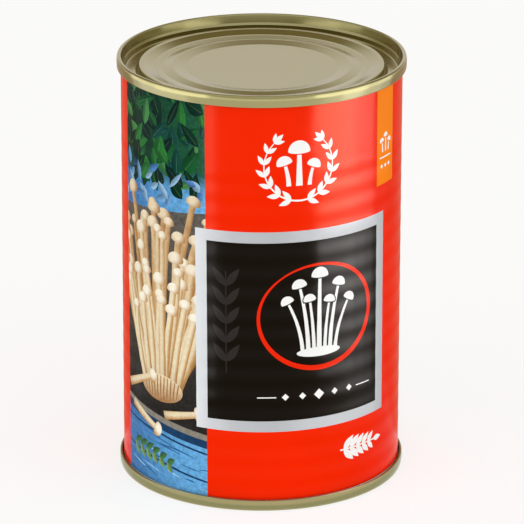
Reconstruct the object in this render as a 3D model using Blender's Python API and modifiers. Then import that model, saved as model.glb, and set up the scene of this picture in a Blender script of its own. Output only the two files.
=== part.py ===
"""Labelled steel food can: a beaded three-piece tinplate can with two double-seamed ends and a paper label.

Metres, +Z up. The origin is the middle of the ring that the can stands on. -Y is the label's front.
"""
import math

import bmesh
import bpy

# Driving dimensions
CAN_HEIGHT = 0.1135
SEAM_DIAMETER = 0.0758
SEAM_HEIGHT = 0.00295
TINPLATE = 0.0002
GAP = 0.00028
SEGMENTS = 40
SHARP_ANGLE = math.radians(40)

# Double seam: depths below the crest of the seam
CREST_CORNER = 0.0004
CURL_CORNER = 0.0003
FOLD_CORNER = 0.0002
COMPOUND_HEIGHT = 0.00035

# Stamped end: radius and depth below the crest of the seam, on the face that shows
PANEL_RADIUS = 0.0206
PANEL_DEPTH = 0.0038
STEP_RADIUS = 0.0245
STEP_DEPTH = 0.0033
GROOVE_RADIUS = 0.0264
GROOVE_WIDTH = 0.0012
GROOVE_DEPTH = 0.00015
BEAD_RADIUS = 0.0283
EDGE_RADIUS = 0.0317
EDGE_DEPTH = 0.0025
MOAT_INNER_RADIUS = 0.0333
MOAT_OUTER_RADIUS = 0.0352
MOAT_DEPTH = 0.0044
CHUCK_STEP_DEPTH = 0.0026
CHUCK_STEP = 0.0003

# Body beads
BEAD_COUNT = 15
BEAD_PITCH = 0.00558
BEAD_DEPTH = 0.0004
FIRST_BEAD_HEIGHT = 0.0131

# Paper label
LABEL_SHEET = 0.0001
LABEL_EDGE_GAP = 0.00035
LABEL_LAP_SEGMENTS = 2
LABEL_LAP_START = math.radians(81)

# Contents
HEADSPACE = 0.006
CONTENTS_GAP = 0.0004
CONTENTS_BEVEL = 0.003

# Middle of each seam layer, from the outside in
LAYER_PITCH = TINPLATE + GAP
SEAMING_WALL = SEAM_DIAMETER / 2 - TINPLATE / 2
BODY_HOOK = SEAMING_WALL - LAYER_PITCH
END_HOOK = BODY_HOOK - LAYER_PITCH
BODY_WALL = END_HOOK - LAYER_PITCH
CHUCK_WALL = BODY_WALL - LAYER_PITCH
LABEL_RADIUS = BODY_WALL + TINPLATE / 2 + GAP + LABEL_SHEET / 2

# Depth of each seam layer below the crest, at the middle of the sheet
END_CREST_DEPTH = TINPLATE / 2
COMPOUND_DEPTH = TINPLATE + GAP
BODY_FOLD_DEPTH = COMPOUND_DEPTH + COMPOUND_HEIGHT + GAP + TINPLATE / 2
END_HOOK_TIP_DEPTH = BODY_FOLD_DEPTH + TINPLATE / 2 + GAP
END_CURL_DEPTH = SEAM_HEIGHT - TINPLATE / 2
BODY_HOOK_TIP_DEPTH = SEAM_HEIGHT - TINPLATE - GAP

parts = bpy.data.collections.new("labelled_food_can")


def clear_scene():
    for old in list(bpy.data.objects):
        bpy.data.objects.remove(old)
    bpy.context.scene.collection.children.link(parts)


def make_material(name, colour, roughness, metallic):
    material = bpy.data.materials.new(name)
    material.use_nodes = True
    shader = material.node_tree.nodes["Principled BSDF"]
    shader.inputs["Base Color"].default_value = (*colour, 1)
    shader.inputs["Roughness"].default_value = roughness
    shader.inputs["Metallic"].default_value = metallic
    return material


def rounded(corners, steps=2):
    """A path through (radius, depth, fillet) corners, with an arc of the given steps at each fillet."""
    path = []
    for index, (radius, depth, fillet) in enumerate(corners):
        if not fillet:
            path.append((radius, depth))
            continue
        before = corners[index - 1]
        after = corners[index + 1]
        to_before = math.atan2(before[1] - depth, before[0] - radius)
        to_after = math.atan2(after[1] - depth, after[0] - radius)
        turn = (to_after - to_before + math.pi) % (2 * math.pi) - math.pi
        reach = fillet / math.tan(abs(turn) / 2)
        middle = to_before + turn / 2
        centre_distance = fillet / math.sin(abs(turn) / 2)
        centre_radius = radius + centre_distance * math.cos(middle)
        centre_depth = depth + centre_distance * math.sin(middle)
        start_radius = radius + reach * math.cos(to_before)
        start_depth = depth + reach * math.sin(to_before)
        first = math.atan2(start_depth - centre_depth, start_radius - centre_radius)
        sweep = -math.copysign(math.pi - abs(turn), turn)
        for step in range(steps + 1):
            angle = first + sweep * step / steps
            path.append((centre_radius + fillet * math.cos(angle), centre_depth + fillet * math.sin(angle)))
    return path


def finish(thing, material):
    """Apply the modifiers, shade the round faces smooth and put the object in the can's collection."""
    parts.objects.link(thing)
    evaluated = thing.evaluated_get(bpy.context.evaluated_depsgraph_get())
    mesh = bpy.data.meshes.new_from_object(evaluated)
    mesh.name = thing.name
    thing.modifiers.clear()
    thing.data = mesh
    mesh.materials.clear()
    mesh.materials.append(material)
    mesh.shade_smooth()
    mesh.set_sharp_from_angle(angle=SHARP_ANGLE)
    return thing


def turned(name, profile, closed=False):
    """An object whose profile, as (radius, height) pairs, is turned round the can's axis."""
    mesh = bpy.data.meshes.new(name)
    edges = [(index, index + 1) for index in range(len(profile) - 1)]
    if closed:
        edges.append((len(profile) - 1, 0))
    mesh.from_pydata([(radius, 0, height) for radius, height in profile], edges, [])
    thing = bpy.data.objects.new(name, mesh)
    screw = thing.modifiers.new("turn", "SCREW")
    screw.axis = "Z"
    screw.steps = SEGMENTS
    screw.render_steps = SEGMENTS
    screw.use_merge_vertices = True
    screw.merge_threshold = 0.00001
    return thing


def thicken(thing, thickness):
    shell = thing.modifiers.new("sheet", "SOLIDIFY")
    shell.thickness = thickness
    shell.offset = 0
    shell.use_even_offset = True


def end_profile():
    """Middle of the end's sheet as (radius, depth), from the centre of the panel out to the tip of its hook."""
    half = TINPLATE / 2
    panel = [
        (0, PANEL_DEPTH + half),
        (PANEL_RADIUS, PANEL_DEPTH + half),
        (STEP_RADIUS, STEP_DEPTH + half),
        (GROOVE_RADIUS - GROOVE_WIDTH / 2, STEP_DEPTH + half),
        (GROOVE_RADIUS, STEP_DEPTH + GROOVE_DEPTH + half),
        (GROOVE_RADIUS + GROOVE_WIDTH / 2, STEP_DEPTH + half),
        (BEAD_RADIUS, STEP_DEPTH + half),
        (EDGE_RADIUS, EDGE_DEPTH + half),
    ]
    moat = [
        (EDGE_RADIUS + TINPLATE, EDGE_DEPTH + TINPLATE),
        (MOAT_INNER_RADIUS, MOAT_DEPTH + half),
        (MOAT_OUTER_RADIUS, MOAT_DEPTH + half),
    ]
    chuck = [
        (CHUCK_WALL - CHUCK_STEP, CHUCK_STEP_DEPTH + CHUCK_STEP, 0),
        (CHUCK_WALL, CHUCK_STEP_DEPTH, 0),
    ]
    seam = [
        (CHUCK_WALL, END_CREST_DEPTH, CREST_CORNER),
        (SEAMING_WALL, END_CREST_DEPTH, CREST_CORNER),
        (SEAMING_WALL, END_CURL_DEPTH, CURL_CORNER),
        (END_HOOK, END_CURL_DEPTH, CURL_CORNER),
        (END_HOOK, END_HOOK_TIP_DEPTH, 0),
    ]
    return panel + moat + rounded(chuck + seam)


def make_end(name, material, height_of):
    thing = turned(name, [(radius, height_of(depth)) for radius, depth in end_profile()])
    thicken(thing, TINPLATE)
    return finish(thing, material)


def make_sealing_ring(name, material, height_of):
    """Compound between the crest of the end and the fold of the body."""
    inner = CHUCK_WALL + TINPLATE / 2 + GAP
    outer = SEAMING_WALL - TINPLATE / 2 - GAP
    near = height_of(COMPOUND_DEPTH)
    far = height_of(COMPOUND_DEPTH + COMPOUND_HEIGHT)
    high = max(near, far)
    low = min(near, far)
    ring = turned(name, [(outer, high), (outer, low), (inner, low), (inner, high)], closed=True)
    return finish(ring, material)


def below_top(depth):
    return CAN_HEIGHT - depth


def above_bottom(depth):
    return depth


def make_body(material):
    """Beaded tube whose two edges fold out and down into the body hooks."""
    fold = rounded([
        (BODY_HOOK, BODY_HOOK_TIP_DEPTH, 0),
        (BODY_HOOK, BODY_FOLD_DEPTH, FOLD_CORNER),
        (BODY_WALL, BODY_FOLD_DEPTH, FOLD_CORNER),
        (BODY_WALL, BODY_HOOK_TIP_DEPTH, 0),
    ], steps=1)
    beads = [(BODY_WALL, FIRST_BEAD_HEIGHT - BEAD_PITCH)]
    for bead in range(BEAD_COUNT + 1):
        crest = FIRST_BEAD_HEIGHT + (bead - 1) * BEAD_PITCH
        beads.append((BODY_WALL - BEAD_DEPTH, crest + BEAD_PITCH / 2))
        beads.append((BODY_WALL, crest + BEAD_PITCH))
    top = [(radius, below_top(depth)) for radius, depth in fold]
    bottom = [(radius, above_bottom(depth)) for radius, depth in reversed(fold)]
    body = turned("can_body", top + list(reversed(beads)) + bottom)
    thicken(body, TINPLATE)
    return finish(body, material)


def label_point(column, height):
    """A point of the label's sheet: it lies on the body once round, then steps up onto its own first edge."""
    angle = LABEL_LAP_START + column * 2 * math.pi / SEGMENTS
    radius = LABEL_RADIUS
    if column >= SEGMENTS:
        radius += LABEL_SHEET + GAP
    return (radius * math.cos(angle), radius * math.sin(angle), height)


def make_label(material):
    """One paper sheet rolled round the body, with its glued lap at the back."""
    low = above_bottom(SEAM_HEIGHT + LABEL_EDGE_GAP)
    high = below_top(SEAM_HEIGHT + LABEL_EDGE_GAP)
    columns = SEGMENTS + LABEL_LAP_SEGMENTS
    sheet = bmesh.new()
    bmesh.ops.create_grid(sheet, x_segments=columns, y_segments=1, size=0.5)
    for vertex in sheet.verts:
        column = round((vertex.co.x + 0.5) * columns)
        vertex.co = label_point(column, low + (vertex.co.y + 0.5) * (high - low))
    mesh = bpy.data.meshes.new("paper_label")
    sheet.to_mesh(mesh)
    sheet.free()
    label = bpy.data.objects.new("paper_label", mesh)
    thicken(label, LABEL_SHEET)
    return finish(label, material)


def make_contents(material):
    """The packed mushrooms and brine as one plug, with the headspace above it."""
    radius = BODY_WALL - BEAD_DEPTH - TINPLATE / 2 - CONTENTS_GAP
    low = above_bottom(MOAT_DEPTH + TINPLATE + CONTENTS_GAP)
    high = below_top(PANEL_DEPTH + TINPLATE + HEADSPACE)
    plug = bmesh.new()
    bmesh.ops.create_cone(plug, cap_ends=True, segments=SEGMENTS, radius1=radius, radius2=radius,
                          depth=high - low)
    bmesh.ops.translate(plug, verts=plug.verts, vec=(0, 0, (low + high) / 2))
    mesh = bpy.data.meshes.new("packed_contents")
    plug.to_mesh(mesh)
    plug.free()
    contents = bpy.data.objects.new("packed_contents", mesh)
    bevel = contents.modifiers.new("rounded edges", "BEVEL")
    bevel.width = CONTENTS_BEVEL
    bevel.segments = 1
    bevel.limit_method = "ANGLE"
    bevel.angle_limit = SHARP_ANGLE
    return finish(contents, material)


def build():
    clear_scene()
    lacquered = make_material("gold_lacquered_tinplate", (0.56, 0.52, 0.32), 0.3, 1.0)
    lacquered_foot = make_material("gold_lacquered_foot", (0.56, 0.52, 0.32), 0.3, 1.0)
    tinplate = make_material("bare_tinplate", (0.62, 0.62, 0.61), 0.35, 1.0)
    paper = make_material("varnished_printed_paper", (0.85, 0.03, 0.0), 0.25, 0.0)
    top_compound = make_material("top_sealing_compound", (0.32, 0.28, 0.24), 0.8, 0.0)
    bottom_compound = make_material("bottom_sealing_compound", (0.32, 0.28, 0.24), 0.8, 0.0)
    food = make_material("mushrooms_in_brine", (0.75, 0.62, 0.38), 0.4, 0.0)
    make_body(tinplate)
    make_end("top_end", lacquered, below_top)
    make_end("bottom_end", lacquered_foot, above_bottom)
    make_sealing_ring("top_sealing_ring", top_compound, below_top)
    make_sealing_ring("bottom_sealing_ring", bottom_compound, above_bottom)
    make_label(paper)
    make_contents(food)


build()
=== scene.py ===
"""Looks of the labelled food can: lacquered ends, a beaded tinplate body and a varnished paper label.

Lengths are in millimetres until a mesh or a lamp is made from them. On the label, s runs round the can to
the right from the middle of its front, and z is the height.
"""

import math
import random

import bpy
from mathutils import Matrix, Vector
from mathutils.geometry import delaunay_2d_cdt


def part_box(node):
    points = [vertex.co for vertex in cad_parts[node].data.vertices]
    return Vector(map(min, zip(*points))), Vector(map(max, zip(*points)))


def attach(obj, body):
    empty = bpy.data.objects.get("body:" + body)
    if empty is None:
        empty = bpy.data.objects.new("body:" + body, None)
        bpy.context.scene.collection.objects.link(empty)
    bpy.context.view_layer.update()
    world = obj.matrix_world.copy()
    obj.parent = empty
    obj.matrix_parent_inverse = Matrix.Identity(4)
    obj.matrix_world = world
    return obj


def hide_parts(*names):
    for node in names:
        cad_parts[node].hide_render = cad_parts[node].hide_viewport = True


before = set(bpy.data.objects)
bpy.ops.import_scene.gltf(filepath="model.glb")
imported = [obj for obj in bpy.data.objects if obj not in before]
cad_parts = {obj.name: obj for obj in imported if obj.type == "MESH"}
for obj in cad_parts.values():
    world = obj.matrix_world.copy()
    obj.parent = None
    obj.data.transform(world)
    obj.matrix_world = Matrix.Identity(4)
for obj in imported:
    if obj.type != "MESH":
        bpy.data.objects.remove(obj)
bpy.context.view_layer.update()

MM = 0.001

# Sizes from the frame, in millimetres
CAN_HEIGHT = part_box("top_end")[1].z / MM
SEAM_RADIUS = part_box("top_end")[1].x / MM
LABEL_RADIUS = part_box("paper_label")[1].x / MM
LABEL_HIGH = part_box("paper_label")[1].z / MM

# Sheets and seams
TINPLATE = 0.2
LAYER_PITCH = 0.24
TOP_SEAM_HEIGHT = 3.12
BOTTOM_SEAM_HEIGHT = 2.95
LABEL_LOW = BOTTOM_SEAM_HEIGHT - 0.15
TOP_LEDGE_DEPTH = 2.86
BOTTOM_LEDGE_DEPTH = 2.5
SEAMING_WALL = SEAM_RADIUS - TINPLATE / 2
BODY_HOOK = SEAMING_WALL - LAYER_PITCH
END_HOOK = BODY_HOOK - LAYER_PITCH
SEAMED_BODY = END_HOOK - LAYER_PITCH
CHUCK_WALL = SEAMED_BODY - LAYER_PITCH
CHUCK_FOOT = CHUCK_WALL - 0.38
BODY_WALL = LABEL_RADIUS - 0.34
LEDGE = BODY_WALL - 0.42
PANEL_DEPTH = 3.62
MOAT_DEPTH = 4.4
COMPOUND_HALF_WIDTH = 0.28
COMPOUND_HALF_HEIGHT = 0.33
COMPOUND_DEPTH = 0.6
TURN_STEPS = 240

# Body beads, with the heights of their crests
BEAD_COUNT = 15
BEAD_PITCH = 5.58
BEAD_DEPTH = 0.4
FIRST_BEAD = 13.1
LAST_BEAD = FIRST_BEAD + (BEAD_COUNT - 1) * BEAD_PITCH

# Paper label
PAPER = 0.1
LAP_HALF_ANGLE = math.radians(9)
LAP_RISE = 0.13
LAP_SLOPE_ANGLE = math.radians(3)
LABEL_HALF = math.pi * LABEL_RADIUS + LAP_HALF_ANGLE * LABEL_RADIUS
BEAD_SAG = 0.05
RIPPLE = 0.015
PRINT_SKEW = 0.005

# Widest spacing of the label's mesh points, and the distance at which two of them become one
GRID_S = 1.6
GRID_Z = 0.93
MERGE_DISTANCE = 0.0001

# Varnish. Its gloss peaks at this share of the bead pitch above each crest
GLOSS = 0.04
RIB_GLOSS = GLOSS * 0.8
RIB_GLOSS_SWING = GLOSS * 0.36
GLOSS_PEAK = 0.45
BRONZING = (1, 1, 0.62)

# Reflection cards at the sides
CARD_DISTANCE = 100

# Camera, fitted to the photograph
PICTURE = 524
FOCAL_PIXELS = 4340
SENSOR = 36
CAMERA_DISTANCE = 1151.5
CAMERA_ELEVATION = math.radians(19.56)
CAMERA_ROLL = math.radians(0.11)
AIM = Vector((0.18, 0, 55.74))


def srgb(red, green, blue):
    """A linear colour from 0 to 255 screen values."""
    def linear(value):
        share = value / 255
        return share / 12.92 if share <= 0.04045 else ((share + 0.055) / 1.055) ** 2.4
    return (linear(red), linear(green), linear(blue))


def mix(first, second, share):
    return tuple(a + (b - a) * share for a, b in zip(first, second))


def smoothstep(low, high, value):
    share = min(max((value - low) / (high - low), 0), 1)
    return share * share * (3 - 2 * share)


# Materials

def new_material(name):
    material = bpy.data.materials.new(name)
    material.use_nodes = True
    return material, material.node_tree, material.node_tree.nodes["Principled BSDF"]


def set_inputs(tree, node, values):
    """Set inputs, by name or place, to a number or a colour, or join them to another node's output."""
    for name, source in values.items():
        socket = node.inputs[name]
        if isinstance(source, bpy.types.NodeSocket):
            tree.links.new(source, socket)
        elif isinstance(source, tuple):
            socket.default_value = (*source, 1)
        else:
            socket.default_value = source
    return node


def noise(tree, scale, detail=4, roughness=0.5, stretch=(1, 1, 1)):
    """Noise in the object's own space, in metres. stretch scales it along each axis."""
    place = tree.nodes.new("ShaderNodeTexCoord")
    mapping = set_inputs(tree, tree.nodes.new("ShaderNodeMapping"), {"Vector": place.outputs["Object"]})
    mapping.inputs["Scale"].default_value = stretch
    values = {"Vector": mapping.outputs["Vector"], "Scale": scale, "Detail": detail, "Roughness": roughness}
    return set_inputs(tree, tree.nodes.new("ShaderNodeTexNoise"), values).outputs["Fac"]


def ranged(tree, source, low, high):
    """Noise spread over low to high."""
    values = {"Value": source, "From Min": 0.3, "From Max": 0.7, "To Min": low, "To Max": high}
    return set_inputs(tree, tree.nodes.new("ShaderNodeMapRange"), values).outputs["Result"]


def soft_range(tree, source, start, end):
    """A level that goes smoothly from 0 at start to 1 at end."""
    node = tree.nodes.new("ShaderNodeMapRange")
    node.interpolation_type = "SMOOTHSTEP"
    return set_inputs(tree, node, {"Value": source, "From Min": start, "From Max": end}).outputs["Result"]


def blended(tree, share, first, second, blend_type="MIX"):
    """Two colours mixed or multiplied, each given as numbers or as a node's output."""
    node = tree.nodes.new("ShaderNodeMix")
    node.data_type = "RGBA"
    node.blend_type = blend_type
    return set_inputs(tree, node, {"Factor": share, "A": first, "B": second}).outputs["Result"]


def computed(tree, operation, first, second=0.0):
    node = tree.nodes.new("ShaderNodeMath")
    node.operation = operation
    return set_inputs(tree, node, {0: first, 1: second}).outputs["Value"]


def bump(tree, source, shader, strength, distance):
    values = {"Height": source, "Strength": strength, "Distance": distance}
    node = set_inputs(tree, tree.nodes.new("ShaderNodeBump"), values)
    tree.links.new(node.outputs["Normal"], shader.inputs["Normal"])


def lacquered_tinplate():
    """Tinplate under gold lacquer: a tinted metal below a clear coat, faintly mottled."""
    material, tree, shader = new_material("gold_lacquered_tinplate")
    cloud = noise(tree, 60, 3)
    set_inputs(tree, shader, {
        "Base Color": blended(tree, ranged(tree, cloud, 0, 1), (0.362, 0.322, 0.132), (0.382, 0.342, 0.150)),
        "Roughness": ranged(tree, cloud, 0.17, 0.20),
        "Metallic": 1,
        "Coat Weight": 0.75,
        "Coat Roughness": 0.14,
        "Specular Tint": (0.9, 0.82, 0.74),
    })
    bump(tree, noise(tree, 500, 2), shader, 0.03, 0.00001)
    return material


def bare_tinplate():
    """Bright tinplate with its rolling grain running up the can."""
    material, tree, shader = new_material("bare_tinplate")
    cloud = noise(tree, 90, 4)
    grain = noise(tree, 2600, 2, stretch=(1, 1, 0.1))
    set_inputs(tree, shader, {
        "Base Color": blended(tree, ranged(tree, cloud, 0, 1), (0.52, 0.52, 0.51), (0.66, 0.66, 0.65)),
        "Roughness": ranged(tree, grain, 0.25, 0.4),
        "Metallic": 1,
    })
    bump(tree, grain, shader, 0.1, 0.00002)
    return material


def rib_gloss(tree):
    """The varnish's gloss: highest between the beads and lowest just under each crest, where it rubs."""
    place = tree.nodes.new("ShaderNodeTexCoord")
    split = tree.nodes.new("ShaderNodeSeparateXYZ")
    tree.links.new(place.outputs["Object"], split.inputs["Vector"])
    height = split.outputs["Z"]
    rise = computed(tree, "SUBTRACT", height, (FIRST_BEAD + (GLOSS_PEAK - 0.25) * BEAD_PITCH) * MM)
    turn = computed(tree, "MULTIPLY", rise, 2 * math.pi / (BEAD_PITCH * MM))
    swing = computed(tree, "MULTIPLY", computed(tree, "SINE", turn), RIB_GLOSS_SWING)
    ribbed = computed(tree, "ADD", swing, RIB_GLOSS)
    top = (LAST_BEAD + BEAD_PITCH * 1.1) * MM
    below_top = soft_range(tree, height, top, (LAST_BEAD + BEAD_PITCH * 0.5) * MM)
    level = tree.nodes.new("ShaderNodeMix")
    return set_inputs(tree, level, {"Factor": below_top, "A": GLOSS, "B": ribbed}).outputs["Result"]


def printed_paper():
    """Varnished print. The ink is a colour on each face corner, and its alpha is how much grain it has."""
    material, tree, shader = new_material("varnished_print")
    ink = tree.nodes.new("ShaderNodeVertexColor")
    ink.layer_name = "ink"
    colour = ink.outputs["Color"]
    grain = ranged(tree, noise(tree, 900, 5, 0.65), 0.55, 1.45)
    cloud = noise(tree, 70, 3)
    grained = blended(tree, ink.outputs["Alpha"], colour, grain, "MULTIPLY")
    parts = set_inputs(tree, tree.nodes.new("ShaderNodeSeparateColor"), {"Color": colour})
    warmth = computed(tree, "SUBTRACT", parts.outputs["Red"], parts.outputs["Blue"])
    set_inputs(tree, shader, {
        "Base Color": blended(tree, 1, grained, ranged(tree, cloud, 0.98, 1.02), "MULTIPLY"),
        "Roughness": ranged(tree, cloud, 0.17, 0.22),
        "Specular IOR Level": rib_gloss(tree),
        "Specular Tint": blended(tree, computed(tree, "MAXIMUM", warmth, 0), (1, 1, 1), BRONZING),
    })
    bump(tree, noise(tree, 300, 2), shader, 0.1, 0.00003)
    return material


def plain_material(name, first, second, roughness, scale):
    """A mottled matt material for the sealed inner pieces and the floor."""
    material, tree, shader = new_material(name)
    cloud = noise(tree, scale, 4)
    colour = blended(tree, ranged(tree, cloud, 0, 1), first, second)
    set_inputs(tree, shader, {"Base Color": colour, "Roughness": roughness})
    bump(tree, cloud, shader, 0.2, 0.0002)
    return material


# Turned metal pieces

def rounded(corners, steps=6):
    """A path through (radius, depth, fillet) corners, with an arc of the given steps at each fillet."""
    path = []
    for index, (radius, depth, fillet) in enumerate(corners):
        if not fillet:
            path.append((radius, depth))
            continue
        before = corners[index - 1]
        after = corners[index + 1]
        to_before = math.atan2(before[1] - depth, before[0] - radius)
        to_after = math.atan2(after[1] - depth, after[0] - radius)
        turn = (to_after - to_before + math.pi) % (2 * math.pi) - math.pi
        reach = fillet / math.tan(abs(turn) / 2)
        middle = to_before + turn / 2
        centre_distance = fillet / math.sin(abs(turn) / 2)
        centre_radius = radius + centre_distance * math.cos(middle)
        centre_depth = depth + centre_distance * math.sin(middle)
        start_radius = radius + reach * math.cos(to_before)
        start_depth = depth + reach * math.sin(to_before)
        first = math.atan2(start_depth - centre_depth, start_radius - centre_radius)
        sweep = -math.copysign(math.pi - abs(turn), turn)
        for step in range(steps + 1):
            angle = first + sweep * step / steps
            path.append((centre_radius + fillet * math.cos(angle), centre_depth + fillet * math.sin(angle)))
    return path


def turned_sheet(name, path, material, cad_node):
    """A sheet of tinplate turned round the can's axis. path is its middle as (radius, height)."""
    mesh = bpy.data.meshes.new(name)
    edges = [(index, index + 1) for index in range(len(path) - 1)]
    mesh.from_pydata([(radius * MM, 0, height * MM) for radius, height in path], edges, [])
    piece = bpy.data.objects.new(name, mesh)
    bpy.context.scene.collection.objects.link(piece)
    screw = piece.modifiers.new("turn", "SCREW")
    screw.steps = TURN_STEPS
    screw.render_steps = TURN_STEPS
    screw.use_merge_vertices = True
    screw.merge_threshold = 0.000005
    shell = piece.modifiers.new("sheet", "SOLIDIFY")
    shell.thickness = TINPLATE * MM
    shell.offset = 0
    shell.use_even_offset = True
    evaluated = piece.evaluated_get(bpy.context.evaluated_depsgraph_get())
    solid = bpy.data.meshes.new_from_object(evaluated)
    piece.modifiers.clear()
    piece.data = solid
    solid.materials.clear()
    solid.materials.append(material)
    solid.shade_smooth()
    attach(piece, "root")
    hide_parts(cad_node)
    return piece


def sealing_ring(name, height, material, cad_node):
    """The compound squeezed under a seam's crest, as a ring with an oval section."""
    sides = 16
    points = []
    faces = []
    for turn in range(TURN_STEPS):
        around = 2 * math.pi * turn / TURN_STEPS
        for side in range(sides):
            angle = 2 * math.pi * side / sides
            radius = END_HOOK + COMPOUND_HALF_WIDTH * math.cos(angle)
            level = height + COMPOUND_HALF_HEIGHT * math.sin(angle)
            points.append((radius * math.cos(around) * MM, radius * math.sin(around) * MM, level * MM))
            here = turn * sides
            following = (turn + 1) % TURN_STEPS * sides
            beside = (side + 1) % sides
            faces.append((here + side, following + side, following + beside, here + beside))
    mesh = bpy.data.meshes.new(name)
    mesh.from_pydata(points, [], faces)
    mesh.shade_smooth()
    mesh.materials.append(material)
    ring = bpy.data.objects.new(name, mesh)
    bpy.context.scene.collection.objects.link(ring)
    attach(ring, "root")
    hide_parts(cad_node)


def end_path(seam_height, ledge_depth):
    """The stamped end as (radius, depth below the crest), from the panel's middle to the hook's tip."""
    seam_foot = seam_height - TINPLATE / 2
    panel = [(0, PANEL_DEPTH, 0), (19.9, PANEL_DEPTH, 2)]
    step = [(23.3, 3.11, 2.6), (25.9, 3.52, 0.8), (27.4, 3.33, 0.8), (28.2, 3.29, 0.8)]
    ridge = [(30.75, 2.6, 0.5), (32.0, 2.5, 0.35)]
    moat = [(32.8, MOAT_DEPTH, 0.4), (LEDGE - 0.08, MOAT_DEPTH, 0.7)]
    ledge = [(LEDGE, ledge_depth, 0.14)]
    wall = [(CHUCK_FOOT, ledge_depth - 0.46, 0.5), (CHUCK_WALL, TINPLATE / 2, 0.34)]
    crest = [(SEAMING_WALL - 0.12, TINPLATE / 2, 0.4), (SEAMING_WALL, 1.3, 3)]
    hook = [(SEAMING_WALL - 0.06, seam_foot, 0.2), (END_HOOK, seam_foot, 0.2), (END_HOOK, 1.6, 0)]
    return rounded(panel + step + ridge + moat + ledge + wall + crest + hook)


def hook_path(ledge_depth):
    """The body's hook as (radius, depth below the crest), with the neck that follows the end's ledge."""
    fold_depth = 1.21
    return rounded([
        (BODY_HOOK, 2.47, 0),
        (BODY_HOOK, fold_depth, 0.2),
        (SEAMED_BODY, fold_depth, 0.2),
        (SEAMED_BODY, ledge_depth - 0.4, 0.3),
        (BODY_WALL, ledge_depth + 0.22, 0.3),
        (BODY_WALL, 4.0, 0),
    ], steps=4)


def body_path():
    """The body as (radius, height), from the tip of its upper hook down to the tip of its lower one."""
    beads = []
    steps = 8
    for step in range((BEAD_COUNT + 1) * steps + 1):
        height = FIRST_BEAD - BEAD_PITCH + step * BEAD_PITCH / steps
        dip = BEAD_DEPTH * (1 - math.cos(2 * math.pi * step / steps)) / 2
        beads.append((BODY_WALL - dip, height))
    top = [(radius, CAN_HEIGHT - depth) for radius, depth in hook_path(TOP_LEDGE_DEPTH)]
    return top + beads[::-1] + hook_path(BOTTOM_LEDGE_DEPTH)[::-1]


# Label print: flat shapes in (s, z), each laid over the ones before it

RED = srgb(246, 38, 0)
BLACK = srgb(23, 17, 10)
PANEL_GHOST = srgb(48, 43, 40)
BRUSH_RED = srgb(238, 40, 10)
WHITE = srgb(247, 247, 245)
PAPER_WHITE = srgb(236, 234, 228)
ORANGE = srgb(255, 134, 8)
CREAM = srgb(240, 225, 190)
OCHRE = srgb(200, 148, 84)
BROWN = srgb(120, 74, 36)
BACK_CREAM = srgb(244, 240, 228)

shapes = []


def arc_length(degrees):
    return math.radians(degrees) * LABEL_RADIUS


def flat(colour, grain=0.0):
    """An even ink."""
    return lambda s, z: (*colour, grain)


def lay(outline, ink, guides=()):
    """Lay a shape on the label. guides are points inside it where its ink is worked out too."""
    area = sum(a[0] * b[1] - b[0] * a[1] for a, b in zip(outline, outline[1:] + outline[:1]))
    loop = outline if area > 0 else outline[::-1]
    edge = []
    for start, end in zip(loop, loop[1:] + loop[:1]):
        across = math.ceil(abs(end[0] - start[0]) / GRID_S)
        up = math.ceil(abs(end[1] - start[1]) / GRID_Z)
        pieces = max(1, across, up)
        for step in range(pieces):
            share = step / pieces
            edge.append((start[0] + (end[0] - start[0]) * share, start[1] + (end[1] - start[1]) * share))
    shapes.append((edge, ink, guides))


def rectangle(s0, s1, z0, z1):
    return [(s0, z0), (s1, z0), (s1, z1), (s0, z1)]


def ellipse(s, z, half_width, half_height, count):
    points = []
    for step in range(count):
        angle = 2 * math.pi * step / count
        points.append((s + half_width * math.cos(angle), z + half_height * math.sin(angle)))
    return points


def leaf_outline(base, angle, length, width):
    """A pointed leaf that grows from base at an angle from straight up."""
    along = Vector((math.sin(angle), math.cos(angle)))
    side = Vector((along.y, -along.x))
    root = Vector(base)
    steps = 7
    right = []
    left = []
    for step in range(1, steps):
        share = step / steps
        spread = width / 2 * math.sin(math.pi * share ** 0.85)
        centre = root + along * (length * share)
        right.append(tuple(centre + side * spread))
        left.append(tuple(centre - side * spread))
    return [tuple(root)] + right + [tuple(root + along * length)] + left[::-1]


def bezier(start, middle, end, count):
    points = []
    for step in range(count + 1):
        t = step / count
        points.append(start * ((1 - t) ** 2) + middle * (2 * t * (1 - t)) + end * (t * t))
    return points


def ribbon(line, widths):
    """The outline of a band of varying width along a line of points."""
    left = []
    right = []
    for index, point in enumerate(line):
        ahead = line[min(index + 1, len(line) - 1)] - line[max(index - 1, 0)]
        side = Vector((-ahead.y, ahead.x)).normalized() * (widths[index] / 2)
        left.append(tuple(point + side))
        right.append(tuple(point - side))
    return right + left[::-1]


def nearest_share(line, point):
    """Distance from a point to a line of points, signed by side, and how far along the line it is."""
    best = None
    for index in range(len(line) - 1):
        start = line[index]
        step = line[index + 1] - start
        share = min(max((point - start).dot(step) / step.length_squared, 0), 1)
        away = point - (start + step * share)
        if best is None or away.length < abs(best[0]):
            side = 1 if step.x * away.y - step.y * away.x > 0 else -1
            best = (side * away.length, (index + share) / (len(line) - 1))
    return best


# Picture panel: a bunch of slender mushrooms on a slate board

PICTURE_LEFT = arc_length(-70.6)
PICTURE_RIGHT = arc_length(-22.75)


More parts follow.
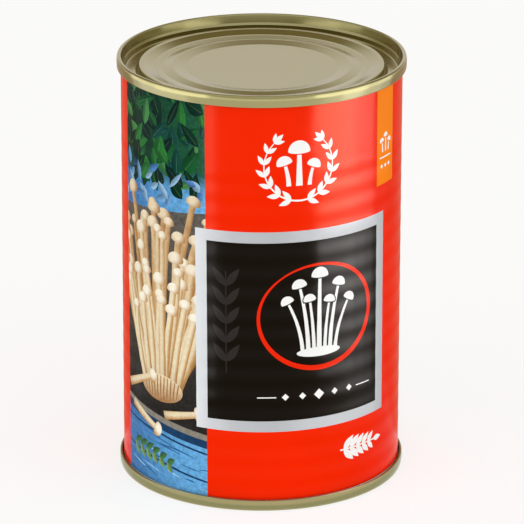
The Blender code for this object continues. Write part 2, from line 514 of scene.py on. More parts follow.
def draw_stem(rng, start, end, bow, width, light):
    """One slender stem with a rounded shade across it and its small domed cap."""
    middle = (start + end) / 2 + Vector((bow, 0))
    line = bezier(start, middle, end, 10)
    pale = mix(OCHRE, CREAM, light)
    dark = mix(BROWN, OCHRE, 0.25 + light * 0.6)
    widths = [width * (1.12 - 0.3 * step / 10) for step in range(11)]

    def stem_ink(s, z):
        away, along = nearest_share(line, Vector((s, z)))
        across = away / (width / 2)
        shade = smoothstep(0.25, 1.15, abs(across - 0.3))
        tone = mix(pale, dark, shade)
        return (*mix(mix(tone, BROWN, 0.4), tone, smoothstep(-0.15, 0.3, along)), 0.2)

    guides = [tuple(point) for point in line[1:-1]]
    for index in range(1, 10):
        ahead = (line[index + 1] - line[index - 1]).normalized()
        guides.append(tuple(line[index] + Vector((-ahead.y, ahead.x)) * (width * 0.28)))
    lay(ribbon(line, widths), stem_ink, guides)
    draw_cap(end, (line[-1] - line[-2]).normalized(), width * rng.uniform(1.7, 2.2), light)


def draw_cap(tip, up, size, light):
    """A domed cap seen from the side, with its highlight to the left of its top."""
    side = Vector((up.y, -up.x))
    outline = []
    for step in range(16):
        angle = 2 * math.pi * step / 16
        reach = 0.46 if math.sin(angle) > 0 else 0.2
        point = tip + side * (size / 2 * math.cos(angle)) + up * (size * reach * math.sin(angle))
        outline.append(tuple(point))
    shine = tip + up * (size * 0.2) - side * (size * 0.12)
    bright = mix(mix(OCHRE, CREAM, 0.75), srgb(255, 248, 228), light)
    rim = mix(BROWN, OCHRE, 0.4 + 0.5 * light)

    def cap_ink(s, z):
        away = (Vector((s, z)) - shine).length / (size * 0.55)
        return (*mix(bright, rim, smoothstep(0.3, 1.15, away)), 0.15)

    ring = [tuple(shine + side * (size * 0.24 * math.cos(a)) + up * (size * 0.17 * math.sin(a)))
            for a in (0.5, 1.6, 2.7, 3.8, 4.9, 6.0)]
    lay(outline, cap_ink, [tuple(shine), *ring])


def draw_leaf(base, angle, length, width, tone, rib=0.0):
    """A leaf that is lit from its right, with a paler rib along its middle where rib is over zero."""
    along = Vector((math.sin(angle), math.cos(angle)))
    side = Vector((along.y, -along.x))
    root = Vector(base)

    def leaf_ink(s, z):
        offset = (Vector((s, z)) - root).dot(side) / (width / 2)
        lit = smoothstep(-0.9, 0.9, offset)
        return (*mix(tone, (0.0, 0.012, 0.01), 0.6 * (1 - lit)), 0.4)

    spine = [tuple(root + along * (length * share)) for share in (0.2, 0.4, 0.6, 0.8)]
    lay(leaf_outline(base, angle, length, width), leaf_ink, spine)
    if rib:
        line = [root + along * (length * share) for share in (0.12, 0.35, 0.6, 0.82)]
        pale = mix(tone, srgb(150, 190, 130), 0.12)
        lay(ribbon(line, [rib, rib * 0.8, rib * 0.6, rib * 0.3]), flat(pale, 0.4))


def draw_foliage(rng, left, width):
    """Greenery behind the board, with a drift of pale blue leaves in front of it."""
    greens = [srgb(24, 92, 46), srgb(44, 122, 52), srgb(10, 52, 36), srgb(74, 140, 78), srgb(18, 74, 66),
              srgb(12, 40, 34)]
    blues = [srgb(120, 172, 222), srgb(88, 140, 202), srgb(160, 200, 236)]
    # Count, lowest base, rise, lean, lengths, widths, tones and rib
    drifts = (
        (90, 83, 27, 1.2, (5, 10), (2.2, 4.2), greens, 0.26),
        (22, 79, 10, 1.4, (3.5, 6.5), (1.4, 2.4), blues, 0.0),
    )
    for count, low, rise, lean, lengths, widths, tones, rib in drifts:
        for index in range(count):
            base = (left + width * rng.random(), low + rise * rng.random())
            draw_leaf(base, rng.uniform(-lean, lean), rng.uniform(*lengths), rng.uniform(*widths),
                      rng.choice(tones), rib)


def draw_boards(rng, left, right):
    """Grain and gaps of blue painted planks in the foreground."""
    for index in range(26):
        s = left + (right - left) * rng.random()
        z = LABEL_LOW + 20 * rng.random()
        reach = rng.uniform(3, 11)
        line = bezier(Vector((s, z)), Vector((s + reach / 2, z + rng.uniform(-0.8, 0.8))),
                      Vector((s + reach, z - reach * 0.18 + rng.uniform(-0.5, 0.5))), 4)
        tone = rng.choice([srgb(40, 92, 146), srgb(52, 108, 166), srgb(150, 200, 236), srgb(128, 184, 228)])
        lay(ribbon(line, [0.1, 0.34, 0.42, 0.3, 0.1]), flat(tone, 0.5))
    middle = (left + right) / 2
    for z in (8.6, 16.4):
        gap = [Vector((left - 1, z + 2.2)), Vector((middle, z + 0.7)), Vector((right + 1, z - 2.2))]
        lay(ribbon(gap, [0.5, 0.6, 0.5]), flat(srgb(26, 62, 104), 0.6))


def draw_bunch(rng, foot):
    """The bunch, from its far stems to its near ones, with its trimmed root end."""
    # Count, lightness, reach and spread of the stems
    layers = ((13, 0.15, 52, 0.46), (13, 0.45, 47, 0.44), (12, 0.72, 41, 0.42), (11, 0.92, 33, 0.38),
              (8, 1.0, 24, 0.30))
    for count, light, reach, spread in layers:
        order = list(range(count))
        rng.shuffle(order)
        for index in order:
            share = (index + 0.5) / count * 2 - 1
            start = foot + Vector((share * 6.2 + rng.uniform(-0.5, 0.5), rng.uniform(-1.0, 1.5)))
            lean = share * spread + rng.uniform(-0.07, 0.07)
            height = reach * (1 - 0.2 * share * share) * rng.uniform(0.86, 1.08)
            end = start + Vector((math.sin(lean) * height, math.cos(lean) * height))
            draw_stem(rng, start, end, rng.uniform(-2.4, 2.4), rng.uniform(1.9, 2.6),
                      min(1.0, light + rng.uniform(-0.1, 0.15)))

    def root_ink(s, z):
        return (*mix(srgb(172, 124, 78), srgb(238, 216, 176), smoothstep(foot.y - 5, foot.y + 3, z)), 0.4)

    middle = foot.y - 0.6
    rows = [(foot.x + 1.4 * i, middle + 1.2 * j) for i in range(-4, 5) for j in (-2, -1, 0, 1)]
    lay(ellipse(foot.x, middle, 7.6, 3.8, 28), root_ink, rows)
    for index in range(-5, 6):
        top = Vector((foot.x + index * 1.25, middle + 3.4 * math.sqrt(1 - (index / 6.4) ** 2)))
        low = Vector((foot.x + index * 1.1, middle - 3.4 * math.sqrt(1 - (index / 6.4) ** 2)))
        lay(ribbon([low, (low + top) / 2, top], [0.2, 0.42, 0.3]), flat(srgb(158, 110, 66), 0.3))


def draw_loose_stems(rng, left, right):
    """A few trimmed stems that lie across the front of the board."""
    width = right - left
    for share, z, turn, length in ((0.02, 27, 1.15, 13), (0.10, 22.5, 1.95, 12), (0.56, 22.6, 1.35, 11)):
        start = Vector((left + width * share, z))
        end = start + Vector((math.sin(turn) * length, math.cos(turn) * length))
        draw_stem(rng, start, end, 0.0, 2.2, 0.95)


def draw_green_sprig(s, z):
    """A curved spray of small leaves on the planks."""
    for index in range(6):
        share = index / 6
        base = (s + 17 * share, z - 3.4 * share + 1.2 * math.sin(3 * share))
        for side in (-1, 1):
            tone = srgb(132, 172, 100) if side > 0 else srgb(76, 128, 76)
            draw_leaf(base, math.radians(104) + side * 0.75, 4.4 - 1.6 * share, 1.9, tone)


def draw_picture():
    """The picture panel, from its ground to what lies in front."""
    rng = random.Random(11)
    left = PICTURE_LEFT
    right = PICTURE_RIGHT
    width = right - left

    def ground_ink(s, z):
        low = mix(srgb(58, 116, 176), srgb(104, 172, 224), smoothstep(left, right, s))
        high = mix(srgb(8, 38, 26), srgb(30, 84, 58), smoothstep(left, right, s))
        return (*mix(low, high, smoothstep(84, 92, z)), 0.7)

    rows = [(left + width * i / 6, LABEL_LOW + (LABEL_HIGH - LABEL_LOW) * j / 24)
            for i in range(1, 6) for j in range(1, 24)]
    lay(rectangle(left, right, LABEL_LOW, LABEL_HIGH), ground_ink, rows)
    draw_foliage(rng, left, width)
    draw_boards(rng, left, right)

    def board_ink(s, z):
        return (*mix(srgb(40, 36, 34), srgb(96, 90, 84), smoothstep(20, 84, z)), 0.8)

    board = [(left - 2, 24.5), (right + 2, 19.5), (right + 2, 81), (left - 2, 77)]
    shadow = [(left - 2, 21.0), (right + 2, 15.6), (right + 2, 19.5), (left - 2, 24.5)]
    edge = [(left - 2, 23.0), (right + 2, 17.8), (right + 2, 19.5), (left - 2, 24.5)]
    lay(shadow, flat(srgb(30, 62, 98), 0.6))
    board_rows = [(left + width * i / 4, 24 + 54 * j / 10) for i in range(1, 4) for j in range(1, 10)]
    lay(board, board_ink, board_rows)
    lay(edge, flat(srgb(138, 132, 122), 0.5))
    draw_bunch(rng, Vector((left + width * 0.52, 30.5)))
    draw_loose_stems(rng, left, right)
    draw_green_sprig(left + 4, 11.5)


# Ornaments

def draw_mushroom_mark(s, z, height, cap, lean, colour, gap):
    """A flat mushroom in one colour, kept apart from what is behind it by a thin line of the gap colour."""
    foot = Vector((s, z))
    tip = foot + Vector((lean, height))
    line = bezier(foot, (foot + tip) / 2 + Vector((-lean * 0.4, 0)), tip, 8)
    widths = [cap * (0.30 - 0.12 * step / 8) for step in range(9)]
    lay(ribbon(line, [width + 0.5 for width in widths]), flat(gap))
    lay(ribbon(line, widths), flat(colour))
    up = (line[-1] - line[-2]).normalized()
    side = Vector((up.y, -up.x))
    for grow, ink in ((0.28, gap), (0.0, colour)):
        dome = []
        for step in range(17):
            angle = math.pi * step / 16
            dome.append(tuple(tip + side * ((cap / 2 + grow) * math.cos(angle))
                              + up * ((cap * 0.5 + grow) * math.sin(angle))))
        for step in range(1, 8):
            angle = math.pi * step / 8
            dome.append(tuple(tip - side * ((cap / 2 + grow) * math.cos(angle))
                              - up * (cap * 0.11 * math.sin(angle) + grow)))
        lay(dome, flat(ink))


def draw_diamond(s, z, half, colour):
    lay([(s - half, z), (s, z - half), (s + half, z), (s, z + half)], flat(colour))


def draw_wreath(s, z, radius, colour):
    """Two leafy branches that rise from the bottom round three mushrooms."""
    foot = -97
    sweep = 142

    def on_branch(side, share):
        """The point of a branch at a share of its length, and its heading there."""
        angle = math.radians(foot + sweep * share)
        reach = Vector((side * radius * math.cos(angle), radius * math.sin(angle)))
        return Vector((s, z)) + reach, math.atan2(-side * math.sin(angle), math.cos(angle))

    for side in (-1, 1):
        stem = [on_branch(side, step / 14)[0] for step in range(15)]
        lay(ribbon(stem, [0.5 - 0.25 * step / 14 for step in range(15)]), flat(colour))
        for step in range(1, 8):
            base, heading = on_branch(side, step / 7)
            size = radius * (0.40 - 0.014 * step)
            for turn in (-0.62, 0.62):
                lay(leaf_outline(base, heading + turn, size, size * 0.40), flat(colour))
        top, heading = on_branch(side, 1)
        lay(leaf_outline(top, heading, radius * 0.36, radius * 0.14), flat(colour))
    floor = z - radius * 0.56
    draw_mushroom_mark(s - radius * 0.30, floor, radius * 0.66, radius * 0.46, -radius * 0.12, colour, RED)
    draw_mushroom_mark(s + radius * 0.30, floor, radius * 0.56, radius * 0.42, radius * 0.12, colour, RED)
    draw_mushroom_mark(s, floor, radius * 1.0, radius * 0.64, 0, colour, RED)


def draw_sprig(s, z, length, colour):
    """A level sprig with pairs of leaves and one at its end."""
    lay(rectangle(s, s + length, z - 0.2, z + 0.2), flat(colour))
    pairs = 5
    for index in range(pairs):
        root = s + length * (0.08 + 0.8 * index / pairs)
        for side in (-1, 1):
            heading = math.pi / 2 - side * 0.8
            size = 4.8 - 0.35 * index
            lay(leaf_outline((root, z), heading, size, size * 0.42), flat(colour))
    lay(leaf_outline((s + length * 0.9, z), math.pi / 2, 3.6, 1.6), flat(colour))


FRAME_OUTER = (arc_length(-27.4), arc_length(59.3), 21.83, 76.8)
FRAME_WIDTH = 3.2
FRAME_BAR = 3.02

# Screen values of the silver ink at shares of the frame's width. They are its metallic reflection painted
# in: light on the left, and right of the middle where the label's highlights fall.
SILVER_TONES_WITH_PAINTED_SHEEN = (
    (0.0, 232), (0.09, 212), (0.2, 196), (0.38, 189),
    (0.55, 204), (0.7, 210), (0.9, 206), (1.0, 191),
)


def silver_ink_with_painted_sheen(s, z):
    """Metallic ink as a flat grey with its reflection painted in, brightest on the left of the frame and
    darkest on its right.
    """
    share = (s - FRAME_OUTER[0]) / (FRAME_OUTER[1] - FRAME_OUTER[0])
    tone = SILVER_TONES_WITH_PAINTED_SHEEN[0][1]
    for (start, first), (end, second) in zip(SILVER_TONES_WITH_PAINTED_SHEEN, SILVER_TONES_WITH_PAINTED_SHEEN[1:]):
        tone = tone + (second - first) * smoothstep(start, end, share)
    return (*srgb(tone - 3, tone, tone + 4), 0.03)


def draw_ghost_branch(s):
    """An upright branch in grey on black."""
    lay(rectangle(s - 0.15, s + 0.15, 38, 66), flat(PANEL_GHOST))
    for index in range(5):
        height = 41 + 5.2 * index
        for side in (-1, 1):
            lay(leaf_outline((s, height), side * 0.62, 6.2, 2.1), flat(PANEL_GHOST))


def draw_ring(s, z):
    """A brushed ring, which swells and thins once on its way round."""
    steps = 72
    half = steps // 2
    ring = []
    for step in range(steps + 1):
        angle = 2 * math.pi * step / steps + 2.2
        ring.append(Vector((s + 16.2 * math.cos(angle), z + 14.2 * math.sin(angle))))
    widths = [0.45 + 1.0 * math.sin(math.pi * step / steps) for step in range(steps + 1)]
    lay(ribbon(ring[:half + 1], widths[:half + 1]), flat(BRUSH_RED))
    lay(ribbon(ring[half:], widths[half:]), flat(BRUSH_RED))


def draw_ringed_bunch(s, z):
    """Seven mushrooms on one foot, inside a ring round (s, z)."""
    draw_ring(s, z)
    marks = ((-7.6, 14.0, 3.6, -4.0), (7.8, 13.0, 3.6, 4.2), (-5.0, 18.2, 4.1, -2.4), (5.2, 17.6, 4.0, 2.6),
             (-2.4, 14.2, 3.5, -1.2), (2.7, 13.4, 3.4, 1.3), (0.0, 20.6, 4.8, 0.2))
    for offset, height, cap, lean in marks:
        draw_mushroom_mark(s + offset * 0.6, z - 9.6, height, cap, lean, WHITE, BLACK)
    lay(ellipse(s, z - 9.8, 6.2, 1.3, 32), flat(WHITE))


def draw_divider(s, z):
    """A row of diamonds between two short rules."""
    for index in range(-2, 3):
        draw_diamond(s + index * 4.6, z, 0.95 if index else 1.45, WHITE)
    for side in (-1, 1):
        near = s + side * 11.6
        far = near + side * 5
        lay(rectangle(min(near, far), max(near, far), z - 0.15, z + 0.15), flat(WHITE))


def draw_front_panel():
    """Black panel in a silver frame, with its ornaments."""
    s0, s1, z0, z1 = FRAME_OUTER
    # The frame's silver tones hold a painted reflection.
    lay(rectangle(s0, s1, z0, z1), silver_ink_with_painted_sheen)
    inner = rectangle(s0 + FRAME_WIDTH, s1 - FRAME_WIDTH, z0 + FRAME_BAR, z1 - FRAME_BAR)
    lay(inner, flat(BLACK))
    draw_ghost_branch(s0 + FRAME_WIDTH + 5.2)
    centre = arc_length(24)
    draw_ringed_bunch(centre, 53.0)
    draw_divider(centre, 31.4)


def draw_tab():
    """Orange tab that hangs from the top edge, with a small bunch, a rule and three diamonds."""
    lay(rectangle(arc_length(54.3), arc_length(67.3), 84.1, LABEL_HIGH), flat(ORANGE))
    lay(rectangle(arc_length(56.3), arc_length(65.3), 91.2, 91.55), flat(WHITE))
    middle = arc_length(60.8)
    for offset, height, lean in ((-1.5, 3.0, -0.4), (1.5, 2.6, 0.4), (0, 4.2, 0)):
        draw_mushroom_mark(middle + offset, 92.8, height, 2.0, lean, WHITE, ORANGE)
    for offset in (-1.9, 0, 1.9):
        draw_diamond(middle + offset, 89.0, 0.62, WHITE)


def draw_ruled_card():
    """Cream panel on the right of the back: a black head, ruled lines and a table of two columns."""
    rng = random.Random(5)
    rule = srgb(70, 66, 62)
    s0 = arc_length(92)
    s1 = arc_length(158)
    lay(rectangle(s0, s1, 14, 98), flat(BACK_CREAM, 0.03))
    lay(rectangle(s0, s1, 90, 98), flat(BLACK))
    for index in range(15):
        z = 86 - index * 2.1
        end = s1 - 3 - (rng.random() * 9 if index % 5 == 4 else 0)
        lay(rectangle(s0 + 3, end, z - 0.35, z + 0.35), flat(rule))
    lay(rectangle(s0 + 3, s1 - 3, 18, 51), flat(rule))
    for row in range(7):
        z = 18.3 + row * 4.67
        lay(rectangle(s0 + 3.3, s0 + 24.8, z, z + 4.3), flat(BACK_CREAM, 0.03))
        lay(rectangle(s0 + 25.1, s1 - 3.3, z, z + 4.3), flat(BACK_CREAM, 0.03))
        lay(rectangle(s0 + 5, s0 + 12 + rng.random() * 9, z + 1.8, z + 2.5), flat(rule))
        lay(rectangle(s0 + 28, s0 + 33 + rng.random() * 3, z + 1.8, z + 2.5), flat(rule))


def draw_roundels():
    """Three roundels on the left of the back: a flower, three mushrooms and a steaming bowl."""
    s = arc_length(-128)
    flower = 84
    bunch = 58
    bowl = 32
    for z in (flower, bunch, bowl):
        lay(ellipse(s, z, 9.6, 9.6, 64), flat(WHITE))
        lay(ellipse(s, z, 9.0, 9.0, 64), flat(RED))
    for turn in range(6):
        lay(leaf_outline((s, flower), turn * math.pi / 3, 7, 2.6), flat(WHITE))
    for offset, height in ((-3.2, 7.5), (3.2, 7.0), (0, 10)):
        draw_mushroom_mark(s + offset, bunch - 5.2, height, 3.6, offset * 0.25, WHITE, RED)
    lay(ellipse(s, bowl, 6.2, 2.6, 40), flat(WHITE))
    lay(ellipse(s, bowl + 0.4, 5.2, 1.7, 40), flat(RED))
    for offset in (-2.6, 0, 2.6):
        lay(leaf_outline((s + offset, bowl + 2.6), 0.0, 3.4, 1.1), flat(WHITE))


def draw_label():
    lay(rectangle(-LABEL_HALF, LABEL_HALF, LABEL_LOW, LABEL_HIGH), flat(RED, 0.02))
    draw_picture()
    lay(rectangle(arc_length(-100), PICTURE_LEFT, LABEL_LOW, LABEL_HIGH), flat(RED, 0.02))
    lay(rectangle(PICTURE_RIGHT, arc_length(70), LABEL_LOW, LABEL_HIGH), flat(RED, 0.02))
    draw_front_panel()
    draw_wreath(arc_length(15.5), 94.2, 9.2, WHITE)
    draw_sprig(arc_length(34), 14.2, 13.5, WHITE)
    draw_tab()
    draw_ruled_card()
    draw_roundels()


def label_point(s, z):
    """The wrapped label's point at (s, z). It sags between the beads, ripples and laps over its edge."""
    angle = (s + PRINT_SKEW * (CAN_HEIGHT / 2 - z)) / LABEL_RADIUS
    fade = smoothstep(FIRST_BEAD - BEAD_PITCH, FIRST_BEAD, z)
    fade *= 1 - smoothstep(LAST_BEAD, LAST_BEAD + BEAD_PITCH, z)
    sag = BEAD_SAG * fade * (1 - math.cos(2 * math.pi * (z - FIRST_BEAD) / BEAD_PITCH)) / 2
    wave = math.sin(3 * angle + z * 0.11) + math.sin(7 * angle - z * 0.19 + 1.3)
    wave += math.sin(z * 0.31 + 2 * angle)
    ripple = RIPPLE * (wave / 3 + 1) / 2
    start = math.pi - LAP_HALF_ANGLE
    rise = LAP_RISE * smoothstep(start - LAP_SLOPE_ANGLE, start, angle)
    radius = LABEL_RADIUS - sag - ripple + rise
    return Vector((radius * math.sin(angle) * MM, -radius * math.cos(angle) * MM, z * MM))


def label_normal(s, z):
    """The outward normal of the wrapped label at (s, z)."""
    step = 0.05
    across = label_point(s + step, z) - label_point(s - step, z)
    up = label_point(s, z + step) - label_point(s, z - step)
    return across.cross(up).normalized()


def cut_label():
    """The flat label cut along every outline, as points, triangles and the shape on each triangle."""
    points = []
    outlines = []
    for outline, ink, guides in shapes:
        outlines.append(list(range(len(points), len(points) + len(outline))))
        points.extend(Vector(point) for point in outline)
    for outline, ink, guides in shapes:
        points.extend(Vector(point) for point in guides)
    columns = round(2 * LABEL_HALF / GRID_S)
    rows = round((LABEL_HIGH - LABEL_LOW) / GRID_Z)
    for row in range(rows + 1):
        for column in range(columns + 1):
            s = -LABEL_HALF + 2 * LABEL_HALF * column / columns
            z = LABEL_LOW + (LABEL_HIGH - LABEL_LOW) * row / rows
            points.append(Vector((s, z)))
    inside_outlines = 1
    found = delaunay_2d_cdt(points, [], outlines, inside_outlines, MERGE_DISTANCE, True)
    corners, _, triangles, _, _, owners = found
    sheet = [(face, max(owner)) for face, owner in zip(triangles, owners) if 0 in owner]
    used = sorted({index for face, owner in sheet for index in face})
    order = {index: place for place, index in enumerate(used)}
    faces = [[order[index] for index in face] for face, owner in sheet]
    return [corners[index] for index in used], faces, [owner for face, owner in sheet]


def open_edges(faces):
    """The edges that only one face has, each in that face's direction."""
    edges = dict.fromkeys(edge for face in faces for edge in zip(face, face[1:] + face[:1]))
    return [(start, end) for start, end in edges if (end, start) not in edges]


def paint_label(mesh, flat_points, faces, owners):
    """Ink on the corners of the printed triangles, the first in the mesh, and bare paper on the rest."""
    colours = []
    for face, owner in zip(faces, owners):
        ink = shapes[owner][1]
        for index in face:
            colours.extend(ink(flat_points[index].x, flat_points[index].y))
    bare_corners = len(mesh.loops) - len(colours) // 4
    colours.extend((*PAPER_WHITE, 0.1) * bare_corners)
    layer = mesh.color_attributes.new("ink", "FLOAT_COLOR", "CORNER")
    layer.data.foreach_set("color", colours)


def make_label():
    """The printed face, a plain face one paper thickness inside it and the cut edges between them."""
    draw_label()
    flat_points, faces, owners = cut_label()
    count = len(flat_points)
    outer = [label_point(point.x, point.y) for point in flat_points]
    normals = [label_normal(point.x, point.y) for point in flat_points]
    inner = [point - normal * (PAPER * MM) for point, normal in zip(outer, normals)]
    back = [[index + count for index in face[::-1]] for face in faces]
    rim = [(end, start, start + count, end + count) for start, end in open_edges(faces)]
    mesh = bpy.data.meshes.new("printed_label")
    mesh.from_pydata(outer + inner, [], faces + back + rim)
    paint_label(mesh, flat_points, faces, owners)
    mesh.shade_smooth()
    corner_normals = [normals[index] for face in faces for index in face]
    corner_normals += [-normals[index - count] for face in back for index in face]
    for face in rim:
        first, second, third = (mesh.vertices[index].co for index in face[:3])
        corner_normals += [(second - first).cross(third - first).normalized()] * 4
    mesh.normals_split_custom_set(corner_normals)
    mesh.materials.append(printed_paper())
    label = bpy.data.objects.new("printed_label", mesh)
    bpy.context.scene.collection.objects.link(label)
    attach(label, "root")
    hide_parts("paper_label")
    return label


# Stage

def set_glow(tree, colour, strength):
    values = {"Specular IOR Level": 0, "Emission Color": colour, "Emission Strength": strength}
    set_inputs(tree, tree.nodes["Principled BSDF"], values)


def add_floor():
    """A pale sweep, lit a little from below like a light table, so that its shadows stay soft and clean."""
    size = 3.0
    mesh = bpy.data.meshes.new("floor")
    corners = [(-size, -size, 0), (size, -size, 0), (size, size, 0), (-size, size, 0)]
    mesh.from_pydata(corners, [], [(0, 1, 2, 3)])
    floor = bpy.data.objects.new("floor", mesh)
    bpy.context.scene.collection.objects.link(floor)
    material = plain_material("pale_floor", (0.31, 0.31, 0.31), (0.33, 0.33, 0.33), 0.9, 3)
    set_glow(material.node_tree, (1, 1, 1), 0.73)
    mesh.materials.append(material)


def add_softbox(name, place, target, width, height, radiance, receivers=None, colour=(1, 1, 1)):
    """A soft rectangular light, aimed at a point and hidden from the camera."""
    data = bpy.data.lights.new(name, "AREA")
    data.shape = "RECTANGLE"
    data.size = width * MM
    data.size_y = height * MM
    data.energy = radiance * math.pi * data.size * data.size_y
    data.color = colour
    light = bpy.data.objects.new(name, data)
    bpy.context.scene.collection.objects.link(light)
    towards = Vector(target) - Vector(place)
    light.location = Vector(place) * MM
    light.rotation_euler = towards.to_track_quat("-Z", "Y").to_euler()
    light.visible_camera = False
    if receivers:
        light.light_linking.receiver_collection = receivers
    return light


def add_card(name, place, target, width, height, radiance, receivers, colour=(1, 1, 1)):
    """A light that shows only as a reflection."""
    light = add_softbox(name, place, target, width, height, radiance, receivers, colour)
    light.visible_diffuse = False


def add_side_card(name, side, y, z, width, height, radiance, receivers, colour=(1, 1, 1)):
    """A card that faces straight across from the right of the can, where side is 1, or from its left."""
    place = (side * CARD_DISTANCE, y, z)
    add_card(name, place, (0, y, z), width, height, radiance, receivers, colour)


def add_fill(name, place, target, width, height, radiance):
    """A light that has no reflection."""
    light = add_softbox(name, place, target, width, height, radiance)
    light.visible_glossy = False


def add_reflector(name, profile, start, sweep, steps, glow):
    """A glowing surface that only shows as a reflection.

    It goes sweep degrees round the can from start, with a profile of (radius, height) points.
    """
    points = []
    for step in range(steps + 1):
        angle = math.radians(start + sweep * step / steps)
        for radius, height in profile:
            points.append((radius * math.sin(angle) * MM, -radius * math.cos(angle) * MM, height * MM))
    rows = len(profile)
    faces = []
    for step in range(steps):
        for row in range(rows - 1):
            first = rows * step + row
            faces.append((first, first + rows, first + rows + 1, first + 1))
    mesh = bpy.data.meshes.new(name)
    mesh.from_pydata(points, [], faces)
    reflector = bpy.data.objects.new(name, mesh)
    bpy.context.scene.collection.objects.link(reflector)
    material, tree, shader = new_material(name)
    set_inputs(tree, shader, {"Base Color": (0, 0, 0)})
    set_glow(tree, glow, 1)
    mesh.materials.append(material)
    reflector.visible_camera = False
    reflector.visible_diffuse = False
    reflector.visible_shadow = False


def add_metal_cards(pieces):
    """The soft glow on both sides of the seams, on their outer walls and on the chuck wall."""
    receivers = bpy.data.collections.new("metal_cards_light")
    for piece in pieces:
        receivers.objects.link(piece)
    cool = (1, 1.08, 1.5)
    add_side_card("right_glow", 1, -46, 56, 36, 104, 0.85, receivers, cool)
    add_side_card("right_halo", 1, -48, 56, 104, 104, 0.3, receivers, cool)
    add_side_card("left_glow", -1, -34, 56, 86, 104, 0.36, receivers, cool)
    add_side_card("left_rim_card", -1, -77, 108, 106, 40, 1.3, receivers)
    add_side_card("right_rim_card", 1, -77, 108, 106, 40, 1.5, receivers)
    add_side_card("left_wall_card", -1, 0, 112, 48, 32, 0.9, receivers)
    add_side_card("right_wall_card", 1, 0, 112, 48, 32, 0.9, receivers)
    add_card("front_glow", (0, -700, 70), (0, 0, 70), 1400, 140, 0.42, receivers)


def add_label_cards(label):
    """The long soft highlight to the right of the label's front and the thin one to its left.

    The right one fades towards the back in columns. Each of its rows is brighter than the one below it, and
    has its own front edge, where the first column starts.
    """
    receivers = bpy.data.collections.new("label_cards_light")
    receivers.objects.link(label)
    columns = ((None, -38, 1.0), (-38, -20, 0.6), (-20, -5, 0.3))
    rows = ((0, 22, 15.0, -112), (22, 50, 25.0, -112), (50, 96, 37.0, -126))
    for column, (start, end, share) in enumerate(columns):
        for row, (low, high, radiance, edge) in enumerate(rows):
            first = edge if start is None else start
            add_side_card(f"right_card_{column}_{row}", 1, (first + end) / 2, (low + high) / 2,
                          end - first, high - low, radiance * share, receivers)
    add_card("left_card", (-75.7, -99.6, 48), (-13.6, -34.3, 48), 19, 96, 10.5, receivers)


def height_ramp(tree, height, stops):
    """The tent's tone at each height of a direction, from (height, colour) stops."""
    node = tree.nodes.new("ShaderNodeValToRGB")
    tree.links.new(height, node.inputs["Fac"])
    elements = node.color_ramp.elements
    for index, (position, colour) in enumerate(stops):
        stop = elements[index] if index < 2 else elements.new(position)
        stop.position = position
        stop.color = (*colour, 1)
    return node.outputs["Color"]


def add_world():
    """A white tent that shades the steps of the lid.

    In front it is white above a dark foot. Behind the can it is light low down, dim high up and white
    overhead, with one middling tone on both sides.
    """
    white = (0.8, 0.8, 0.8)
    foot = (0.26, 0.25, 0.14)
    sweep = (0.87, 0.87, 0.87)
    haze = (0.74, 0.74, 0.74)
    dim = (0.28, 0.235, 0.12)
    wings = (0.42, 0.38, 0.27)
    world = bpy.data.worlds.new("studio")
    bpy.context.scene.world = world
    world.use_nodes = True
    tree = world.node_tree
    place = tree.nodes.new("ShaderNodeTexCoord")
    split = tree.nodes.new("ShaderNodeSeparateXYZ")
    tree.links.new(place.outputs["Generated"], split.inputs["Vector"])
    height = split.outputs["Z"]
    stops = ((0.0, haze), (0.2, sweep), (0.43, sweep), (0.57, dim), (0.91, dim), (0.99, white))
    aside = soft_range(tree, computed(tree, "ABSOLUTE", split.outputs["X"]), 0.3, 0.6)
    rear = blended(tree, aside, height_ramp(tree, height, stops), wings)
    front = height_ramp(tree, height, ((0.1, foot), (0.2, white)))
    behind = soft_range(tree, split.outputs["Y"], 0.15, 0.45)
    set_inputs(tree, tree.nodes["Background"], {"Color": blended(tree, behind, front, rear)})


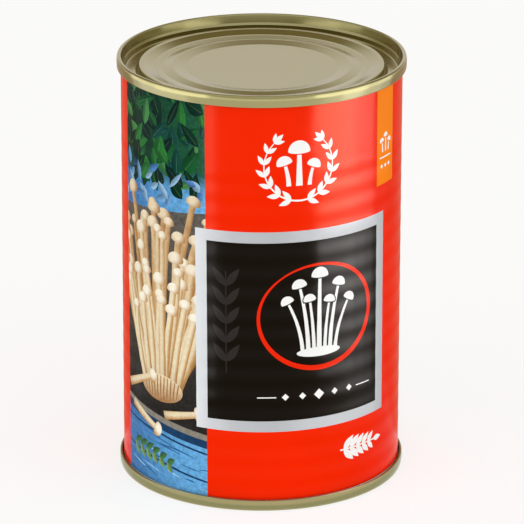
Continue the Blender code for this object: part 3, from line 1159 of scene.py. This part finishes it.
def add_camera():
    data = bpy.data.cameras.new("camera")
    data.sensor_width = SENSOR
    data.lens = SENSOR * FOCAL_PIXELS / PICTURE
    camera = bpy.data.objects.new("camera", data)
    bpy.context.scene.collection.objects.link(camera)
    away = Vector((0, -math.cos(CAMERA_ELEVATION), math.sin(CAMERA_ELEVATION)))
    place = Matrix.Translation((AIM + away * CAMERA_DISTANCE) * MM)
    tilt = Matrix.Rotation(math.pi / 2 - CAMERA_ELEVATION, 4, "X")
    camera.matrix_world = place @ tilt @ Matrix.Rotation(CAMERA_ROLL, 4, "Z")
    bpy.context.scene.camera = camera


def dress_contents():
    """The sealed contents keep their CAD shape."""
    food = plain_material("mushrooms_in_brine", (0.62, 0.48, 0.26), (0.80, 0.70, 0.48), 0.35, 180)
    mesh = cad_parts["packed_contents"].data
    mesh.materials.clear()
    mesh.materials.append(food)


add_camera()
add_floor()
add_world()
bpy.context.scene.view_settings.view_transform = "Standard"
gold = lacquered_tinplate()
top_path = [(radius, CAN_HEIGHT - depth) for radius, depth in end_path(TOP_SEAM_HEIGHT, TOP_LEDGE_DEPTH)]
bottom_path = end_path(BOTTOM_SEAM_HEIGHT, BOTTOM_LEDGE_DEPTH)
top_end = turned_sheet("stamped_top_end", top_path, gold, "top_end")
bottom_end = turned_sheet("stamped_bottom_end", bottom_path, gold, "bottom_end")
turned_sheet("beaded_body", body_path(), bare_tinplate(), "can_body")
compound = plain_material("sealing_compound", (0.26, 0.22, 0.18), (0.34, 0.30, 0.25), 0.75, 300)
sealing_ring("squeezed_top_compound", CAN_HEIGHT - COMPOUND_DEPTH, compound, "top_sealing_ring")
sealing_ring("squeezed_bottom_compound", COMPOUND_DEPTH, compound, "bottom_sealing_ring")
printed_label = make_label()
add_label_cards(printed_label)
add_metal_cards((top_end, bottom_end))
add_reflector("rear_curtain", ((46, 0.4), (116, 0.4), (116, 96)), 108, 144, 24, (0.5, 0.4, 0.285))
add_reflector("foot_shade", ((38.1, 0.3), (42, 0.3)), 0, 360, 72, (0.68, 0.72, 0.7))
add_fill("left_fill", (-1100, -1100, 500), (0, 0, 50), 1200, 1000, 1.0)
add_fill("right_fill", (1100, -1100, 500), (0, 0, 50), 1200, 1000, 1.0)
dress_contents()
